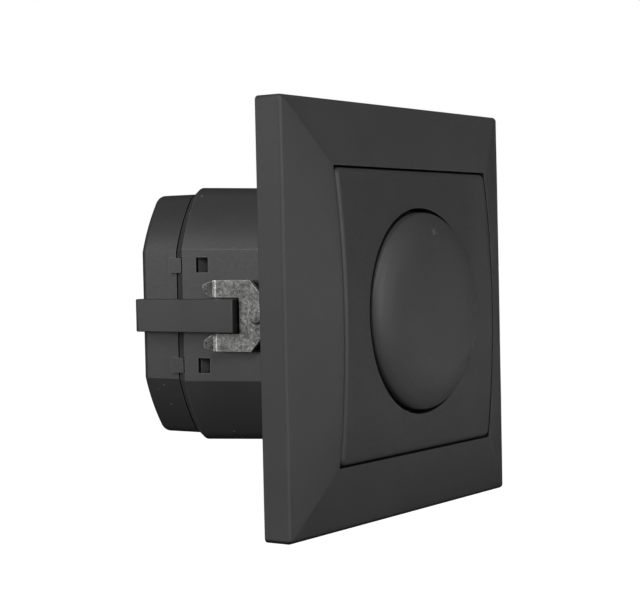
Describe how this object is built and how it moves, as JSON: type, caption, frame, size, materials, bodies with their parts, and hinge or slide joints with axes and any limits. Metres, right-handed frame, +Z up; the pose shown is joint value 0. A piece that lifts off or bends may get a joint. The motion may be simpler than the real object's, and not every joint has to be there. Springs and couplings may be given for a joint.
{
  "type": "dimmer switch",
  "caption": "Flush rotary dimmer with a push on/off knob, arched cover plate, square bevelled frame and an eight-sided wall-box insert with fixing claws.",
  "frame": {"origin": "where the knob's axis meets the wall plane, at the centre of the box-screw slots", "axes": "+Z up, +X to the right seen from the room, +Y into the wall; the front faces -Y"},
  "size_m": [0.081, 0.0583, 0.081],
  "materials": {
    "front_plastic": "fine satin moulding, anthracite",
    "knob_plastic": "satin moulding, anthracite",
    "insert_plastic": "matt moulding, dark grey",
    "guide_plastic": "matt moulding, dark grey",
    "plated_steel": "zinc-plated sheet",
    "screw_steel": "zinc-plated",
    "spring_steel": "drawn wire",
    "bush_metal": "nickel-plated brass",
    "clamp_brass": "plain brass",
    "inner_plastic": "moulded",
    "board": "glass laminate",
    "sink_aluminium": "plain sheet",
    "triac_plastic": "moulded",
    "ferrite": "coated core",
    "copper_wire": "lacquered copper wire",
    "film_box": "moulded box",
    "fuse_glass": "clear"
  },
  "bodies": {
    "insert": {"frame": "front_plastic", "cover_plate": "front_plastic", "fixing_nut": "bush_metal", "support_plate": "plated_steel", "plate_screws": "screw_steel", "housing": "insert_plastic", "rear_cap": "insert_plastic", "claw_guide_left": "guide_plastic", "claw_guide_right": "guide_plastic", "pot_bush": "bush_metal", "pot_body": "inner_plastic", "push_switch": "inner_plastic", "return_spring": "spring_steel", "circuit_board": "board", "heat_sink": "sink_aluminium", "triac": "triac_plastic", "choke_core": "ferrite", "choke_winding": "copper_wire", "capacitor": "film_box", "fuse_tube": "fuse_glass", "fuse_caps": "bush_metal", "fuse_clips": "bush_metal", "terminal_block": "inner_plastic", "terminal_clamp_1": "clamp_brass", "terminal_clamp_2": "clamp_brass", "terminal_clamp_3": "clamp_brass", "terminal_screws": "screw_steel"},
    "plunger": {"push_plunger": "inner_plastic"},
    "knob": {"knob": "knob_plastic", "pot_shaft": "bush_metal"},
    "rotor": {"pot_rotor": "inner_plastic"},
    "claw_left": {"claw_left": "plated_steel"},
    "claw_right": {"claw_right": "plated_steel"},
    "claw_screw_left": {"claw_screw_left": "screw_steel"},
    "claw_screw_right": {"claw_screw_right": "screw_steel"}
  },
  "joints": [
    {"name": "knob_push", "type": "slide", "parent": "insert", "child": "plunger", "axis": [0, 1, 0], "range_m": [0, 0.0015], "stiffness_N_per_m": 1500, "springref_m": -0.001, "deforming": ["return_spring"]},
    {"name": "knob_turn", "type": "hinge", "parent": "plunger", "child": "knob", "pos_m": [0, 0, 0], "axis": [0, 1, 0], "range_deg": [-135, 135]},
    {"name": "rotor_turn", "type": "hinge", "parent": "insert", "child": "rotor", "pos_m": [0, 0, 0], "axis": [0, 1, 0], "range_deg": [-135, 135]},
    {"name": "claw_left_swing", "type": "hinge", "parent": "insert", "child": "claw_left", "pos_m": [-0.0184, 0.00045, 0], "axis": [0, 0, 1], "range_deg": [0, 15]},
    {"name": "claw_right_swing", "type": "hinge", "parent": "insert", "child": "claw_right", "pos_m": [0.0184, 0.00045, 0], "axis": [0, 0, -1], "range_deg": [0, 15]},
    {"name": "claw_screw_left_turn", "type": "hinge", "parent": "insert", "child": "claw_screw_left", "pos_m": [-0.022, 0, 0], "axis": [0, 1, 0], "range_deg": [0, 660]},
    {"name": "claw_screw_right_turn", "type": "hinge", "parent": "insert", "child": "claw_screw_right", "pos_m": [0.022, 0, 0], "axis": [0, 1, 0], "range_deg": [0, 660]}
  ],
  "couplings": [
    {"joint": "rotor_turn", "follows": "knob_turn", "ratio": 1},
    {"joint": "claw_screw_left_turn", "follows": "claw_left_swing", "ratio": 44},
    {"joint": "claw_screw_right_turn", "follows": "claw_right_swing", "ratio": 44}
  ]
}
